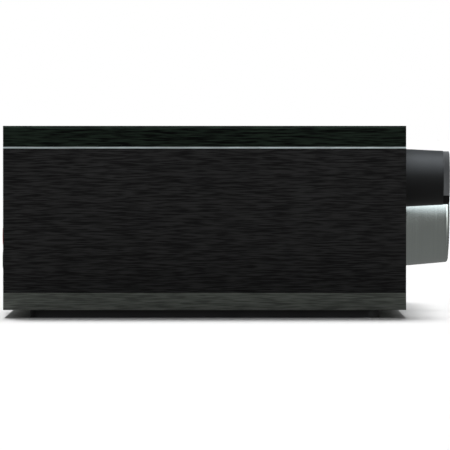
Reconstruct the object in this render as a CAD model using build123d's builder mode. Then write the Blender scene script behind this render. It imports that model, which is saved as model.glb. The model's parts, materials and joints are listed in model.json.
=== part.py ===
from build123d import *
import os
from math import cos, radians, sin, tan

os.makedirs("parts", exist_ok=True)

# A full-width stereo receiver. +Z is up, the front faces -Y and +X is the right-hand side seen
# from the front. The origin is on the floor under the middle of the bounding box. All in mm.

# ---------------------------------------------------------------- driving dimensions
WIDTH = 435.0
DEPTH = 314.7
FOOT_H = 6.2
TRAY_H = 13.3
PANEL_H = 112.8
TRIM_H = 1.3
COVER_H = 16.4
WALL = 3.0
FLOOR_T = 2.0
SHEET_T = 1.6
BEVEL_H = 2.0
BEVEL_IN = 0.6
FASCIA_T = 4.0
RECESS = 16.0

VOLUME_OUT = 42.0
CAP_PROUD = 4.6

# Levels
Z_TRAY = FOOT_H
Z_FLOOR = Z_TRAY + FLOOR_T
Z_PANEL = Z_TRAY + TRAY_H
Z_TRIM = Z_PANEL + PANEL_H
Z_COVER = Z_TRIM + TRIM_H
Z_TOP = Z_COVER + COVER_H
Z_ROOF = Z_TOP - FLOOR_T

# Stations from front to back
FRONT = VOLUME_OUT - (VOLUME_OUT + DEPTH + CAP_PROUD) / 2
REAR = FRONT + DEPTH
PANEL_Y = REAR - RECESS
INNER_REAR = PANEL_Y - SHEET_T
MID_Y = (FRONT + REAR) / 2
HALF_W = WIDTH / 2
INNER_X = HALF_W - WALL

# Foot rails
RAIL_SETBACK = 20.5
RAIL_W = 18.0
RAIL_X = HALF_W - 6.0 - RAIL_W / 2
RAIL_L = DEPTH - 2 * RAIL_SETBACK
SOLE_T = 1.2
RAIL_SCREW_SPREAD = 0.4

# Screws
SCREW_R = 1.5
SCREW_HOLE_R = 1.6
SCREW_HEAD_R = 3.0
SCREW_HEAD_H = 2.0

# Front controls, as (x, z)
SELECTOR_AT = (-170.0, 109.0)
VOLUME_AT = (0.0, 75.0)
STANDBY_AT = (-188.0, 50.0)
LAMP_AT = (-188.0, 64.0)
JACK_AT = (-152.0, 50.0)
DISPLAY_AT = (128.0, 92.0)
KEY_Z = 50.0
KEY_COUNT = 6
KEY_PITCH = 24.0
KEY_W = 17.0
KEY_H = 8.0
KEY_R = 1.5
KEY_PROUD = 0.3
KEY_GAP = 0.3
KEY_TRAVEL = 0.8
STANDBY_R = 7.0
LAMP_R = 1.5
WINDOW_W = 140.0
WINDOW_H = 42.0
WINDOW_R = 2.0
WINDOW_T = 2.0
WINDOW_LIP = 5.0
KNOB_RECESS = 1.0
KNOB_GAP = 0.6
KNOB_SEAT = 0.3
SHAFT_R = 3.0
BUSH_R = 4.2
RUN_CLEARANCE = 0.08

# Selector knob
SELECTOR_BASE_R = 22.8
SELECTOR_NOSE_R = 21.3
SELECTOR_BODY = 30.3
SELECTOR_CAP_R = 20.95
SELECTOR_CAP_T = 5.0
SELECTOR_WALL = 3.0

# Volume knob
VOLUME_BASE_R = 39.8
VOLUME_NOSE_R = 36.4
VOLUME_EDGE_R = 2.3
VOLUME_DOME = 1.5
VOLUME_WALL = 4.0
FACE_T = 2.5
BOSS_R = 7.0

# Boards behind the fascia
BOARD_T = 1.6
CONTROL_BOARD_Y = FRONT + 16.0

# Speaker terminals, as x columns and z rows
POST_X = (-100.0, -68.0)
POST_Z = (42.7, 61.6)
POST_PLATE_T = 3.0
STUD_R = 3.5
BANANA_R = 2.05
WASHER_T = 1.2
WASHER_R = 6.8
CAP_R = 7.4
POST_GAP = 0.05

# Phono sockets
PHONO_X = 62.0
PHONO_Z = 56.0
PHONO_COLUMNS = 6
PHONO_PITCH = 17.0
SLEEVE_R = 4.15
SLEEVE_BORE = 3.4
SLEEVE_L = 9.0

# Antenna socket, mains inlet and mains switch, as (x, z)
ANTENNA_AT = (170.0, 70.0)
INLET_AT = (-180.0, 46.0)
SWITCH_AT = (-140.0, 46.0)
ROCKER_R = 9.5
ROCKER_W = 10.0
ROCKER_GAP = 0.3
ROCKER_SWING = 8.0
ROCKER_DISH = 10.0

# Inside
TRANSFORMER_AT = (-145.0, 60.0)
TRANSFORMER_R = 55.0
TRANSFORMER_H = 52.0
SINK_X = (-60.0, 130.0)
SINK_Y = (8.0, 50.0)
SINK_FINS = 19
AMP_BOARD_X = (-70.0, 140.0)
AMP_BOARD_Y = (52.0, 136.0)
AMP_BOARD_Z = 18.0
CAPACITOR_R = 17.5
CAPACITOR_H = 50.0


# ---------------------------------------------------------------- helpers
def block(x, y, z, mode=Mode.ADD):
    """A box between the low and high values of each axis."""
    middle = tuple((low + high) / 2 for low, high in (x, y, z))
    size = [high - low for low, high in (x, y, z)]
    with Locations(middle):
        Box(*size, mode=mode)


def rod(at, r, y, mode=Mode.ADD):
    """A cylinder along Y at (x, z), between two Y stations."""
    with Locations((at[0], (y[0] + y[1]) / 2, at[1])):
        Cylinder(r, y[1] - y[0], rotation=(90, 0, 0), mode=mode)


def facing_front(y):
    """A plane across the receiver whose sketches use (x, z) and extrude towards the front."""
    return Plane.XZ.offset(-y)


def knob_plane(at):
    """A plane through a knob's axis: local x is the radius, local y the distance out in front."""
    return Plane(origin=(at[0], FRONT, at[1]), x_dir=(1, 0, 0), z_dir=(0, 0, -1))


def knob_axis(at):
    """The line along Y that a knob at (x, z) turns about."""
    return Axis((at[0], FRONT, at[1]), (0, 1, 0))


def save(part, name):
    """Name a finished piece and write it to its own file."""
    part.part.label = name
    export_step(part.part, f"parts/{name}.step")


def key_x(index):
    """The middle of one function button."""
    return DISPLAY_AT[0] + (index - (KEY_COUNT - 1) / 2) * KEY_PITCH


rail_screw_y = [MID_Y + step * RAIL_L * RAIL_SCREW_SPREAD for step in (-1, 0, 1)]
cover_screw_x = [step * 90.0 for step in range(-2, 3)]
cover_screw_z = (Z_COVER + Z_ROOF) / 2 + 1.0

# ---------------------------------------------------------------- case
# Tray: floor plate with a skirt all round and a ledge under the recessed rear panel.
with BuildPart() as base_tray:
    block((-HALF_W, HALF_W), (FRONT, REAR), (Z_TRAY, Z_PANEL))
    inside_x = (-INNER_X, INNER_X)
    ledge_z = Z_PANEL - FLOOR_T
    block(inside_x, (FRONT + WALL, REAR - WALL), (Z_FLOOR, ledge_z), Mode.SUBTRACT)
    block(inside_x, (FRONT + WALL, INNER_REAR), (ledge_z, Z_PANEL), Mode.SUBTRACT)
    for side in (-1, 1):
        for y in rail_screw_y:
            with Locations((side * RAIL_X, y, Z_TRAY + FLOOR_T / 2)):
                Cylinder(SCREW_HOLE_R, FLOOR_T, mode=Mode.SUBTRACT)
    with BuildSketch(Plane.XY.offset(Z_TRAY)):
        with Locations(((SINK_X[0] + SINK_X[1]) / 2, sum(SINK_Y) / 2)):
            with GridLocations(8.0, 1.0, 22, 1):
                SlotOverall(36.0, 3.0, rotation=90)
    extrude(amount=FLOOR_T, mode=Mode.SUBTRACT)
save(base_tray, "base_tray")

# Side panels: flat plates standing on the tray's skirt.
for side, name in ((-1, "left_side_panel"), (1, "right_side_panel")):
    with BuildPart() as side_panel:
        edges_x = sorted((side * HALF_W, side * INNER_X))
        block(edges_x, (FRONT, REAR), (Z_PANEL, Z_TRIM))
    save(side_panel, name)

# Accent frame: a thin bright ring between the panels and the cover.
with BuildPart() as accent_frame:
    with BuildSketch(Plane.XY.offset(Z_TRIM)):
        with Locations((0, MID_Y)):
            Rectangle(WIDTH, DEPTH)
            Rectangle(WIDTH - 2 * WALL, DEPTH - 2 * WALL, mode=Mode.SUBTRACT)
    extrude(amount=TRIM_H)
save(accent_frame, "accent_frame")

# Cover: a shallow pan turned upside down, bevelled along its sides, with cooling slots over the
# heat sink and the transformer and a lip that takes the rear screws.
with BuildPart() as top_cover:
    with BuildSketch(facing_front(REAR)):
        with BuildLine():
            Polyline(
                (-HALF_W, Z_COVER),
                (HALF_W, Z_COVER),
                (HALF_W, Z_TOP - BEVEL_H),
                (HALF_W - BEVEL_IN, Z_TOP),
                (-HALF_W + BEVEL_IN, Z_TOP),
                (-HALF_W, Z_TOP - BEVEL_H),
                close=True,
            )
        make_face()
    extrude(amount=DEPTH)
    block((-INNER_X, INNER_X), (FRONT + WALL, REAR - WALL), (Z_COVER, Z_ROOF), Mode.SUBTRACT)
    block((-200.0, 200.0), (INNER_REAR - FLOOR_T, INNER_REAR), (Z_COVER + 2.0, Z_ROOF))
    for x in cover_screw_x:
        rod((x, cover_screw_z), SCREW_HOLE_R, (INNER_REAR - FLOOR_T, INNER_REAR), Mode.SUBTRACT)
    with BuildSketch(Plane.XY.offset(Z_ROOF)):
        with Locations((sum(SINK_X) / 2, sum(SINK_Y) / 2)):
            with GridLocations(8.0, 1.0, 24, 1):
                SlotOverall(56.0, 3.0, rotation=90)
        with Locations(TRANSFORMER_AT):
            with GridLocations(8.0, 1.0, 11, 1):
                SlotOverall(56.0, 3.0, rotation=90)
    extrude(amount=FLOOR_T, mode=Mode.SUBTRACT)
save(top_cover, "top_cover")

# Rear panel: recessed plate with an opening for every socket.
switch_body_h = 2 * (ROCKER_R + ROCKER_GAP) + 1.6
switch_body_w = ROCKER_W + 2 * ROCKER_GAP + 2.6
with BuildPart() as rear_panel:
    block((-INNER_X, INNER_X), (INNER_REAR, PANEL_Y), (Z_PANEL, Z_ROOF))
    for x in POST_X:
        for z in POST_Z:
            rod((x, z), STUD_R + 1.0, (INNER_REAR, PANEL_Y), Mode.SUBTRACT)
    for x in cover_screw_x:
        rod((x, cover_screw_z), SCREW_HOLE_R, (INNER_REAR, PANEL_Y), Mode.SUBTRACT)
    rod(ANTENNA_AT, 5.0, (INNER_REAR, PANEL_Y), Mode.SUBTRACT)
    with BuildSketch(facing_front(PANEL_Y)):
        with Locations(INLET_AT):
            Rectangle(27.4, 20.4)
        with Locations(SWITCH_AT):
            Rectangle(switch_body_w + 0.4, switch_body_h + 0.4)
        with Locations((PHONO_X, PHONO_Z)):
            with GridLocations(PHONO_PITCH, PHONO_PITCH, PHONO_COLUMNS, 2):
                Circle(2.2)
    extrude(amount=SHEET_T, mode=Mode.SUBTRACT)
save(rear_panel, "rear_panel")

# Foot rails: round-ended runners, each with a rubber sole and counterbored screw holes.
for side, rail_name, sole_name in (
    (-1, "left_foot_rail", "left_rubber_sole"),
    (1, "right_foot_rail", "right_rubber_sole"),
):
    with BuildPart() as foot_rail:
        with BuildSketch(Plane.XY.offset(SOLE_T)):
            with Locations((side * RAIL_X, MID_Y)):
                SlotOverall(RAIL_L, RAIL_W, rotation=90)
        extrude(amount=FOOT_H - SOLE_T)
        for y in rail_screw_y:
            with Locations((side * RAIL_X, y, FOOT_H / 2)):
                Cylinder(SCREW_HOLE_R, FOOT_H, mode=Mode.SUBTRACT)
            with Locations((side * RAIL_X, y, SOLE_T + 1.2)):
                Cylinder(SCREW_HEAD_R + 0.3, 2.4, mode=Mode.SUBTRACT)
    save(foot_rail, rail_name)

    with BuildPart() as rubber_sole:
        with BuildSketch():
            with Locations((side * RAIL_X, MID_Y)):
                SlotOverall(RAIL_L, RAIL_W, rotation=90)
        extrude(amount=SOLE_T)
    save(rubber_sole, sole_name)

# Foot rail screws: heads up inside the rails, shanks through the tray floor.
with BuildPart() as foot_rail_screws:
    head_z = SOLE_T + 2.4 - SCREW_HEAD_H
    shank_top = Z_FLOOR + 2.0
    for side in (-1, 1):
        for y in rail_screw_y:
            with Locations((side * RAIL_X, y, head_z + SCREW_HEAD_H / 2)):
                Cylinder(SCREW_HEAD_R, SCREW_HEAD_H)
            with Locations((side * RAIL_X, y, (head_z + shank_top) / 2)):
                Cylinder(SCREW_R, shank_top - head_z)
save(foot_rail_screws, "foot_rail_screws")

# Cover screws: round heads outside the rear panel, shanks into the cover's lip.
with BuildPart() as cover_screws:
    for x in cover_screw_x:
        rod((x, cover_screw_z), SCREW_HEAD_R, (PANEL_Y, PANEL_Y + SCREW_HEAD_H))
        rod((x, cover_screw_z), SCREW_R, (INNER_REAR - FLOOR_T - 1.0, PANEL_Y + 1.0))
save(cover_screws, "cover_screws")

# ---------------------------------------------------------------- front
# Fascia: plate between the side panels, pierced for every control, with a shallow round seat
# under each knob so that the knob's rim runs below the surface.
with BuildPart() as front_fascia:
    block((-INNER_X, INNER_X), (FRONT, FRONT + FASCIA_T), (Z_PANEL, Z_TRIM))
    seats = ((SELECTOR_AT, SELECTOR_BASE_R), (VOLUME_AT, VOLUME_BASE_R))
    for at, base_r in seats:
        rod(at, base_r + KNOB_SEAT, (FRONT, FRONT + KNOB_RECESS), Mode.SUBTRACT)
        rod(at, BUSH_R + 0.2, (FRONT, FRONT + FASCIA_T), Mode.SUBTRACT)
    rod(STANDBY_AT, STANDBY_R + KEY_GAP, (FRONT, FRONT + FASCIA_T), Mode.SUBTRACT)
    rod(LAMP_AT, LAMP_R, (FRONT, FRONT + FASCIA_T), Mode.SUBTRACT)
    rod(JACK_AT, 5.0, (FRONT, FRONT + FASCIA_T), Mode.SUBTRACT)
    with BuildSketch(facing_front(FRONT + FASCIA_T)):
        for i in range(KEY_COUNT):
            with Locations((key_x(i), KEY_Z)):
                RectangleRounded(KEY_W + 2 * KEY_GAP, KEY_H + 2 * KEY_GAP, KEY_R + KEY_GAP)
        with Locations(DISPLAY_AT):
            Rectangle(WINDOW_W - 2 * WINDOW_LIP, WINDOW_H - 2 * WINDOW_LIP)
    extrude(amount=FASCIA_T, mode=Mode.SUBTRACT)
    with BuildSketch(facing_front(FRONT + WINDOW_T)):
        with Locations(DISPLAY_AT):
            RectangleRounded(WINDOW_W + 0.2, WINDOW_H + 0.2, WINDOW_R + 0.1)
    extrude(amount=WINDOW_T, mode=Mode.SUBTRACT)
save(front_fascia, "front_fascia")

with BuildPart() as display_window:
    with BuildSketch(facing_front(FRONT + WINDOW_T)):
        with Locations(DISPLAY_AT):
            RectangleRounded(WINDOW_W, WINDOW_H, WINDOW_R)
    extrude(amount=WINDOW_T)
save(display_window, "display_window")

# Display module: a glass panel in a holder that stands between the fascia and its board.
with BuildPart() as display_module:
    with BuildSketch(facing_front(CONTROL_BOARD_Y)):
        with Locations(DISPLAY_AT):
            Rectangle(WINDOW_W + 2.0, WINDOW_H - 2.0)
    extrude(amount=CONTROL_BOARD_Y - FRONT - FASCIA_T)
save(display_module, "display_module")

# Control board: carries the switches and the selector, with cut-outs for the longer parts.
with BuildPart() as control_board:
    block((-205.0, 205.0), (CONTROL_BOARD_Y, CONTROL_BOARD_Y + BOARD_T), (28.0, 128.0))
    rod(VOLUME_AT, BUSH_R + 0.3, (CONTROL_BOARD_Y, CONTROL_BOARD_Y + BOARD_T), Mode.SUBTRACT)
    with Locations((JACK_AT[0], CONTROL_BOARD_Y + BOARD_T / 2, JACK_AT[1])):
        Box(15.0, BOARD_T, 15.0, mode=Mode.SUBTRACT)
save(control_board, "control_board")

# Tact switches: one behind each button, a press short of its stem.
SWITCH_NOSE_Y = CONTROL_BOARD_Y - 3.5
STEM_END_Y = SWITCH_NOSE_Y - KEY_TRAVEL - 0.3
with BuildPart() as tact_switches:
    for at in [(key_x(i), KEY_Z) for i in range(KEY_COUNT)] + [STANDBY_AT]:
        with Locations((at[0], CONTROL_BOARD_Y - 1.5, at[1])):
            Box(6.0, 3.0, 6.0)
        rod(at, 1.7, (SWITCH_NOSE_Y, CONTROL_BOARD_Y - 3.0))
save(tact_switches, "tact_switches")

# Function buttons: a cap in the fascia, a flange behind it and a stem towards the switch.
FLANGE_Y = FRONT + FASCIA_T + 0.1
FLANGE_T = 1.0
for i in range(KEY_COUNT):
    with BuildPart() as function_button:
        with BuildSketch(facing_front(FLANGE_Y)):
            with Locations((key_x(i), KEY_Z)):
                RectangleRounded(KEY_W, KEY_H, KEY_R)
        extrude(amount=FLANGE_Y - FRONT + KEY_PROUD)
        fillet(function_button.faces().sort_by(Axis.Y)[0].edges(), 0.25)
        flange_x = (key_x(i) - KEY_W / 2 - 1.2, key_x(i) + KEY_W / 2 + 1.2)
        flange_z = (KEY_Z - KEY_H / 2 - 1.2, KEY_Z + KEY_H / 2 + 1.2)
        block(flange_x, (FLANGE_Y, FLANGE_Y + FLANGE_T), flange_z)
        rod((key_x(i), KEY_Z), 2.0, (FLANGE_Y + FLANGE_T, STEM_END_Y))
    save(function_button, f"function_button_{i + 1}")

# Standby button: the round one, made the same way.
with BuildPart() as standby_button:
    rod(STANDBY_AT, STANDBY_R, (FRONT - KEY_PROUD, FLANGE_Y))
    fillet(standby_button.faces().sort_by(Axis.Y)[0].edges(), 0.25)
    rod(STANDBY_AT, STANDBY_R + 1.2, (FLANGE_Y, FLANGE_Y + FLANGE_T))
    rod(STANDBY_AT, 2.0, (FLANGE_Y + FLANGE_T, STEM_END_Y))
save(standby_button, "standby_button")

with BuildPart() as standby_lamp:
    rod(LAMP_AT, LAMP_R - 0.05, (FRONT, FRONT + FASCIA_T + 1.0))
    rod(LAMP_AT, LAMP_R + 1.0, (FRONT + FASCIA_T, CONTROL_BOARD_Y))
save(standby_lamp, "standby_lamp")

# Headphone jack: a collared bush in the fascia on a square body, bored for a 6.35 mm plug.
JACK_BORE_R = 3.25
JACK_END_Y = FRONT + 38.0
with BuildPart() as headphone_jack:
    rod(JACK_AT, 4.9, (FRONT, FRONT + FASCIA_T))
    rod(JACK_AT, 6.6, (FRONT - KEY_PROUD, FRONT))
    with Locations((JACK_AT[0], (FRONT + FASCIA_T + JACK_END_Y) / 2, JACK_AT[1])):
        Box(14.0, JACK_END_Y - FRONT - FASCIA_T, 14.0)
    rod(JACK_AT, JACK_BORE_R, (FRONT - KEY_PROUD, JACK_END_Y - 2.0), Mode.SUBTRACT)
save(headphone_jack, "headphone_jack")

# Selector knob: a hollow tapered barrel with a boss for the shaft.
KNOB_REAR = KNOB_GAP - KNOB_RECESS
with BuildPart() as selector_knob:
    with BuildSketch(knob_plane(SELECTOR_AT)):
        with BuildLine():
            Polyline(
                (SHAFT_R, SELECTOR_BODY - SELECTOR_WALL),
                (0, SELECTOR_BODY - SELECTOR_WALL),
                (0, SELECTOR_BODY),
                (SELECTOR_NOSE_R, SELECTOR_BODY),
                (SELECTOR_BASE_R, KNOB_REAR),
                (SELECTOR_BASE_R - SELECTOR_WALL, KNOB_REAR),
                (SELECTOR_NOSE_R - SELECTOR_WALL, SELECTOR_BODY - SELECTOR_WALL),
                (BOSS_R, SELECTOR_BODY - SELECTOR_WALL),
                (BOSS_R, KNOB_REAR + 4.0),
                (SHAFT_R, KNOB_REAR + 4.0),
                close=True,
            )
        make_face()
    revolve(axis=knob_axis(SELECTOR_AT))
save(selector_knob, "selector_knob")

with BuildPart() as selector_cap:
    rod(SELECTOR_AT, SELECTOR_CAP_R, (FRONT - SELECTOR_BODY - SELECTOR_CAP_T, FRONT - SELECTOR_BODY))
    fillet(selector_cap.faces().sort_by(Axis.Y)[0].edges(), 0.6)
save(selector_cap, "selector_cap")

# Selector shaft and encoder: the bush reaches into the fascia and the shaft turns in it.
SELECTOR_SHAFT_END = CONTROL_BOARD_Y - 3.0
with BuildPart() as selector_shaft:
    rod(SELECTOR_AT, SHAFT_R, (FRONT - SELECTOR_BODY + SELECTOR_WALL, SELECTOR_SHAFT_END))
save(selector_shaft, "selector_shaft")

with BuildPart() as selector_encoder:
    with Locations((SELECTOR_AT[0], CONTROL_BOARD_Y - 4.0, SELECTOR_AT[1])):
        Box(16.0, 8.0, 16.0)
    rod(SELECTOR_AT, BUSH_R, (FRONT + 1.5, CONTROL_BOARD_Y - 8.0))
    bore_y = (FRONT + 1.5, SELECTOR_SHAFT_END + 0.5)
    rod(SELECTOR_AT, SHAFT_R + RUN_CLEARANCE, bore_y, Mode.SUBTRACT)
save(selector_encoder, "selector_encoder")

# Volume knob: a large hollow barrel with a rounded front edge, and a domed disc set in its face.
VOLUME_RIM = VOLUME_OUT - VOLUME_DOME
DISC_R = VOLUME_NOSE_R - VOLUME_EDGE_R
with BuildPart() as volume_knob:
    with BuildSketch(knob_plane(VOLUME_AT)):
        with BuildLine():
            Polyline(
                (DISC_R, VOLUME_RIM),
                (DISC_R, VOLUME_RIM - FACE_T),
                (0, VOLUME_RIM - FACE_T),
                (0, VOLUME_RIM - FACE_T - VOLUME_WALL),
                (SHAFT_R, VOLUME_RIM - FACE_T - VOLUME_WALL),
                (SHAFT_R, KNOB_REAR + 4.0),
                (BOSS_R, KNOB_REAR + 4.0),
                (BOSS_R, VOLUME_RIM - FACE_T - VOLUME_WALL),
                (VOLUME_NOSE_R - VOLUME_WALL, VOLUME_RIM - FACE_T - VOLUME_WALL),
                (VOLUME_BASE_R - VOLUME_WALL, KNOB_REAR),
                (VOLUME_BASE_R, KNOB_REAR),
                (VOLUME_NOSE_R, VOLUME_RIM - VOLUME_EDGE_R),
            )
            RadiusArc(
                (VOLUME_NOSE_R, VOLUME_RIM - VOLUME_EDGE_R),
                (DISC_R, VOLUME_RIM),
                -VOLUME_EDGE_R,
            )
        make_face()
    revolve(axis=knob_axis(VOLUME_AT))
save(volume_knob, "volume_knob")

dome_r = ((DISC_R - 0.5) ** 2 + VOLUME_DOME**2) / (2 * VOLUME_DOME)
with BuildPart() as volume_disc:
    with BuildSketch(knob_plane(VOLUME_AT)):
        with BuildLine():
            Polyline(
                (0, VOLUME_OUT),
                (0, VOLUME_RIM - FACE_T),
                (DISC_R - 0.1, VOLUME_RIM - FACE_T),
                (DISC_R - 0.1, VOLUME_RIM - 0.5),
                (DISC_R - 0.5, VOLUME_RIM),
            )
            RadiusArc((DISC_R - 0.5, VOLUME_RIM), (0, VOLUME_OUT), -dome_r)
        make_face()
    revolve(axis=knob_axis(VOLUME_AT))
save(volume_disc, "volume_disc")

# Volume control: a motor-driven potentiometer behind the board, with a long bush and shaft.
VOLUME_SHAFT_END = CONTROL_BOARD_Y + BOARD_T + 30.0
with BuildPart() as volume_shaft:
    rod(VOLUME_AT, SHAFT_R, (FRONT - VOLUME_RIM + FACE_T + VOLUME_WALL, VOLUME_SHAFT_END))
save(volume_shaft, "volume_shaft")

with BuildPart() as volume_control:
    back_y = CONTROL_BOARD_Y + BOARD_T
    with Locations((VOLUME_AT[0], back_y + 17.0, VOLUME_AT[1])):
        Box(28.0, 34.0, 28.0)
    rod(VOLUME_AT, BUSH_R, (FRONT + 1.5, back_y))
    rod((VOLUME_AT[0], VOLUME_AT[1] - 21.0), 10.0, (back_y + 12.0, back_y + 34.0))
    bore_y = (FRONT + 1.5, VOLUME_SHAFT_END + 0.5)
    rod(VOLUME_AT, SHAFT_R + RUN_CLEARANCE, bore_y, Mode.SUBTRACT)
save(volume_control, "volume_control")

# ---------------------------------------------------------------- rear
# Speaker terminals: four binding posts on one insulating plate.
post_places = [(x, z) for z in POST_Z for x in POST_X]
post_mid = (sum(POST_X) / 2, sum(POST_Z) / 2)
PLATE_END = PANEL_Y + POST_PLATE_T
with BuildPart() as speaker_plate:
    with BuildSketch(facing_front(PLATE_END)):
        with Locations(post_mid):
            RectangleRounded(60.0, 40.0, 3.0)
    extrude(amount=POST_PLATE_T)
    for at in post_places:
        rod(at, STUD_R + 0.05, (PANEL_Y, PLATE_END), Mode.SUBTRACT)
save(speaker_plate, "speaker_plate")

# Studs: threaded barrels bored for a 4 mm plug, each held by a nut inside the panel.
CAP_START = PLATE_END + WASHER_T + 2 * POST_GAP
CAP_END = REAR + CAP_PROUD
STUD_END = CAP_END - 3.6
with BuildPart() as speaker_studs:
    for at in post_places:
        rod(at, STUD_R, (INNER_REAR - 8.0, STUD_END))
        with BuildSketch(facing_front(INNER_REAR)):
            with Locations(at):
                RegularPolygon(6.5, 6)
        extrude(amount=3.0)
        rod(at, BANANA_R, (STUD_END - 12.0, STUD_END), Mode.SUBTRACT)
save(speaker_studs, "speaker_studs")

# Clamp washers and screw caps: the washer slides on the stud and the cap screws out with it.
for i, at in enumerate(post_places):
    with BuildPart() as clamp_washer:
        washer_y = (PLATE_END + POST_GAP, PLATE_END + POST_GAP + WASHER_T)
        rod(at, WASHER_R, washer_y)
        rod(at, STUD_R + RUN_CLEARANCE, washer_y, Mode.SUBTRACT)
    save(clamp_washer, f"clamp_washer_{i + 1}")

    with BuildPart() as speaker_cap:
        rod(at, CAP_R, (CAP_START, CAP_END))
        fillet(speaker_cap.faces().sort_by(Axis.Y)[-1].edges(), 0.8)
        rod(at, BANANA_R + 0.35, (CAP_START, CAP_END), Mode.SUBTRACT)
        rod(at, STUD_R + RUN_CLEARANCE, (CAP_START, STUD_END + 0.2), Mode.SUBTRACT)
        for turn in range(12):
            flute = Vector(CAP_R + 0.35, 0).rotate(Axis.Z, turn * 30.0)
            rod((at[0] + flute.X, at[1] + flute.Y), 0.9, (CAP_START + 3.0, CAP_END), Mode.SUBTRACT)
    save(speaker_cap, f"speaker_cap_{i + 1}")

# Phono sockets: a strip with a bored core for each socket, and a plated sleeve around each core.
with BuildPart() as phono_strip:
    with BuildSketch(facing_front(PANEL_Y + 3.0)):
        with Locations((PHONO_X, PHONO_Z)):
            RectangleRounded(PHONO_PITCH * PHONO_COLUMNS + 2.0, PHONO_PITCH * 2 + 2.0, 2.0)
    extrude(amount=3.0)
    with BuildSketch(facing_front(PANEL_Y + 3.0 + SLEEVE_L - 1.0)):
        with Locations((PHONO_X, PHONO_Z)):
            with GridLocations(PHONO_PITCH, PHONO_PITCH, PHONO_COLUMNS, 2):
                Circle(SLEEVE_BORE - 0.05)
    extrude(amount=SLEEVE_L - 1.0)
    with BuildSketch(facing_front(PANEL_Y + 3.0 + SLEEVE_L - 1.0)):
        with Locations((PHONO_X, PHONO_Z)):
            with GridLocations(PHONO_PITCH, PHONO_PITCH, PHONO_COLUMNS, 2):
                Circle(1.6)
    extrude(amount=SLEEVE_L - 1.0, mode=Mode.SUBTRACT)
save(phono_strip, "phono_strip")

with BuildPart() as phono_sleeves:
    with BuildSketch(facing_front(PANEL_Y + 3.0 + SLEEVE_L)):
        with Locations((PHONO_X, PHONO_Z)):
            with GridLocations(PHONO_PITCH, PHONO_PITCH, PHONO_COLUMNS, 2):
                Circle(SLEEVE_R)
                Circle(SLEEVE_BORE, mode=Mode.SUBTRACT)
    extrude(amount=SLEEVE_L)
save(phono_sleeves, "phono_sleeves")

# Antenna socket: a threaded barrel on a hexagon base.
with BuildPart() as antenna_socket:
    with BuildSketch(facing_front(PANEL_Y + 3.0)):
        with Locations(ANTENNA_AT):
            RegularPolygon(6.4, 6)
    extrude(amount=3.0)
    rod(ANTENNA_AT, 4.75, (INNER_REAR - 1.0, PANEL_Y + 14.0))
    rod(ANTENNA_AT, 2.6, (PANEL_Y + 3.0, PANEL_Y + 14.0), Mode.SUBTRACT)
    rod(ANTENNA_AT, 1.0, (PANEL_Y + 3.0, PANEL_Y + 12.0))
save(antenna_socket, "antenna_socket")

# Mains inlet: a three-blade appliance inlet for a detachable cord.
INLET_DEPTH = 18.0
CAVITY_W = 24.0
CAVITY_H = 16.4
with BuildPart() as mains_inlet:
    with BuildSketch(facing_front(PANEL_Y + 2.0)):
        with Locations(INLET_AT):
            RectangleRounded(31.0, 24.0, 2.0)
    extrude(amount=2.0)
    block(
        (INLET_AT[0] - 13.5, INLET_AT[0] + 13.5),
        (PANEL_Y + 2.0 - INLET_DEPTH - 3.0, PANEL_Y),
        (INLET_AT[1] - 10.0, INLET_AT[1] + 10.0),
    )
    with BuildSketch(facing_front(PANEL_Y + 2.0)):
        with BuildLine():
            left, right = INLET_AT[0] - CAVITY_W / 2, INLET_AT[0] + CAVITY_W / 2
            low, high = INLET_AT[1] - CAVITY_H / 2, INLET_AT[1] + CAVITY_H / 2
            Polyline(
                (left, low),
                (right, low),
                (right, high - 5.0),
                (right - 5.0, high),
                (left + 5.0, high),
                (left, high - 5.0),
                close=True,
            )
        make_face()
    extrude(amount=INLET_DEPTH, mode=Mode.SUBTRACT)
save(mains_inlet, "mains_inlet")

with BuildPart() as mains_blades:
    blade_y = (PANEL_Y + 2.0 - INLET_DEPTH, PANEL_Y - 2.0)
    for dx, dz in ((-7.0, -2.0), (0.0, 2.0), (7.0, -2.0)):
        x, z = INLET_AT[0] + dx, INLET_AT[1] + dz
        block((x - 1.0, x + 1.0), blade_y, (z - 2.0, z + 2.0))
save(mains_blades, "mains_blades")

# Mains switch: a housing with a round pocket, and a rocker that swings in it on two pins.
PIVOT_Y = PANEL_Y - 2.0
PIN_R = 1.2
pocket_r = ROCKER_R + ROCKER_GAP
pocket_w = ROCKER_W + 2 * ROCKER_GAP
with BuildPart() as mains_switch:
    with BuildSketch(facing_front(PANEL_Y + 2.0)):
        with Locations(SWITCH_AT):
            RectangleRounded(switch_body_w + 3.0, switch_body_h + 4.0, 1.5)
    extrude(amount=2.0)
    with Locations((SWITCH_AT[0], PANEL_Y - 9.0, SWITCH_AT[1])):
        Box(switch_body_w, 18.0, switch_body_h)
    with Locations((SWITCH_AT[0], PIVOT_Y, SWITCH_AT[1])):
        Cylinder(pocket_r, pocket_w, rotation=(0, 90, 0), mode=Mode.SUBTRACT)
        Cylinder(PIN_R + RUN_CLEARANCE, pocket_w + 2.0, rotation=(0, 90, 0), mode=Mode.SUBTRACT)
save(mains_switch, "mains_switch")

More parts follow.
